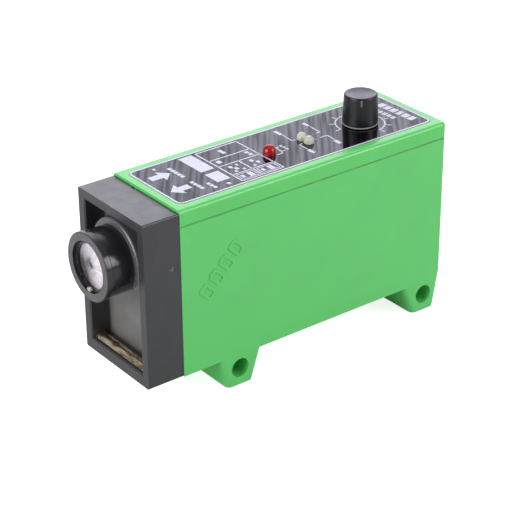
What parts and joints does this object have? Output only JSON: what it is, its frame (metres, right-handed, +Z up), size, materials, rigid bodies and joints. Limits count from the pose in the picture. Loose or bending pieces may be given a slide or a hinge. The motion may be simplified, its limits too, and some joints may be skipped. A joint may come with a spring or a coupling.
{
  "type": "photoelectric mark sensor",
  "caption": "Box-shaped photoelectric sensor on feet, with a recessed nose and screw-focus lens barrel, indicator lamps and a sensitivity knob on the cover, and a round plug at the rear.",
  "frame": {"origin": "midway between the two cross holes in the feet, on their common height, at mid-width", "axes": "+Z up, +X across the width along the mounting holes, +Y from the lens nose towards the plug at the rear"},
  "size_m": [0.0311, 0.1181, 0.0684],
  "materials": {
    "green_housing": "satin green enamel on a die casting",
    "green_cover": "satin green enamel",
    "seal_rubber": "matt",
    "steel_screws": "zinc plated",
    "printed_label": "glossy printed film",
    "nose_plastic": "fine moulded grain",
    "brass": "polished",
    "black_gloss": "glossy",
    "black_barrel": "black anodised, semi-gloss",
    "lens_glass": "polished",
    "black_optics": "matt, non-reflecting",
    "clear_lamp": "clear resin",
    "circuit_board": "green solder mask",
    "chip_plastic": "moulded",
    "red_lamp": "diffused resin",
    "cream_lamp": "diffused resin",
    "potentiometer_case": "moulded",
    "shaft_metal": "turned",
    "knob_plastic": "satin moulded",
    "white_paint": "printed line",
    "capacitor_can": "drawn can",
    "nickel_plated": "nickel plated",
    "gold_pins": "gold plated",
    "wire_insulation": "extruded insulation"
  },
  "bodies": {
    "sensor_body": {"housing_body": "green_housing", "top_cover": "green_cover", "cover_gasket": "seal_rubber", "cover_screws": "steel_screws", "label_plate": "printed_label", "nose_frame": "nose_plastic", "nose_gasket": "seal_rubber", "nose_screws": "steel_screws", "brass_bar": "brass", "bar_screws": "steel_screws", "lens_mount": "black_gloss", "mount_circlip": "steel_screws", "optics_block": "black_optics", "optics_screws": "steel_screws", "beam_splitter": "lens_glass", "condenser_lens": "lens_glass", "aperture_disc": "black_optics", "emitter_led": "clear_lamp", "emitter_board": "circuit_board", "receiver_photodiode": "chip_plastic", "receiver_board": "circuit_board", "display_board": "circuit_board", "display_screws": "steel_screws", "output_led": "red_lamp", "status_leds": "cream_lamp", "potentiometer_body": "potentiometer_case", "knob_bush": "brass", "shaft_seal": "seal_rubber", "main_board": "circuit_board", "board_connector": "chip_plastic", "processor_chip": "chip_plastic", "voltage_regulator": "chip_plastic", "output_transistors": "chip_plastic", "capacitors": "capacitor_can", "plug_shell": "nickel_plated", "plug_seal": "seal_rubber", "plug_insert": "chip_plastic", "plug_pins": "gold_pins", "plug_nut": "nickel_plated", "wire_harness": "wire_insulation", "emitter_wires": "wire_insulation"},
    "sensitivity_knob": {"knob": "knob_plastic", "knob_pointer": "white_paint", "potentiometer_shaft": "shaft_metal"},
    "lens_carriage": {"lens_cell": "black_barrel", "objective_lens": "lens_glass"},
    "focus_barrel": {"lens_barrel": "black_barrel", "lens_retaining_ring": "black_barrel"}
  },
  "joints": [
    {"name": "knob_turn", "type": "hinge", "parent": "sensor_body", "child": "sensitivity_knob", "pos_m": [0.0008, 0.0204, 0.054], "axis": [0, 0, 1], "range_deg": [-140, 140]},
    {"name": "focus_slide", "type": "slide", "parent": "sensor_body", "child": "lens_carriage", "axis": [0, 1, 0], "range_m": [-0.002, 0.002]},
    {"name": "focus_turn", "type": "hinge", "parent": "lens_carriage", "child": "focus_barrel", "pos_m": [0, -0.0719, 0.03745], "axis": [0, 1, 0], "range_deg": [-720, 720]}
  ],
  "couplings": [
    {"joint": "focus_turn", "follows": "focus_slide", "rad_per_m": 6283.2}
  ]
}
